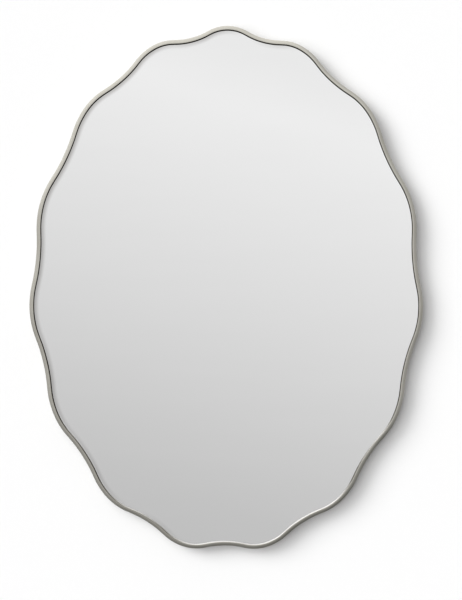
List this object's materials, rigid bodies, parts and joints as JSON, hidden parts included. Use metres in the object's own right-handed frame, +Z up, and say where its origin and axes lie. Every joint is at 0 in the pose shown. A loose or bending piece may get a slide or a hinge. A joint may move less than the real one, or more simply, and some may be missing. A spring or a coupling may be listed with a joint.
{
  "type": "wavy oval wall mirror",
  "caption": "Oval wall mirror with a scalloped edge in a slim satin metal rim, with a backing board, wall bumpers and swinging D-ring hangers.",
  "frame": {"origin": "centre of the rim's flat rear edge, which faces the wall", "axes": "+X to the viewer's right, +Y from the viewer through the glass towards the wall, +Z up"},
  "size_m": [0.7622, 0.0295, 1.0122],
  "materials": {
    "rim_metal": "satin warm nickel",
    "mirror": "polished silvered glass",
    "black_foam": "matt",
    "film": "matt",
    "white_foam": "matt",
    "block_rubber": "matt",
    "board": "raw fibreboard",
    "zinc_steel": "zinc plated",
    "ring_wire": "nickel plated",
    "screw_steel": "zinc plated",
    "bumper_rubber": "matt"
  },
  "bodies": {
    "mirror": {"frame_rim": "rim_metal", "glazing_tape": "black_foam", "mirror_glass": "mirror", "safety_film": "film", "foam_strips": "white_foam", "setting_block_left": "block_rubber", "setting_block_right": "block_rubber", "backing_board": "board", "tab_screws": "screw_steel", "hanger_screws": "screw_steel", "retaining_tab_1": "zinc_steel", "retaining_tab_2": "zinc_steel", "retaining_tab_3": "zinc_steel", "retaining_tab_4": "zinc_steel", "retaining_tab_5": "zinc_steel", "retaining_tab_6": "zinc_steel", "retaining_tab_7": "zinc_steel", "retaining_tab_8": "zinc_steel", "wall_bumper_upper_left": "bumper_rubber", "wall_bumper_upper_right": "bumper_rubber", "wall_bumper_lower_left": "bumper_rubber", "wall_bumper_lower_right": "bumper_rubber", "hanger_strap_left": "zinc_steel", "hanger_strap_right": "zinc_steel"},
    "ring_left": {"d_ring_left": "ring_wire"},
    "ring_right": {"d_ring_right": "ring_wire"}
  },
  "joints": [
    {"name": "ring_swing_left", "type": "hinge", "parent": "mirror", "child": "ring_left", "pos_m": [-0.2032, -0.0041, 0.301], "axis": [-1, 0, 0], "range_deg": [-2, 176]},
    {"name": "ring_swing_right", "type": "hinge", "parent": "mirror", "child": "ring_right", "pos_m": [0.2032, -0.0041, 0.301], "axis": [-1, 0, 0], "range_deg": [-2, 176]}
  ]
}
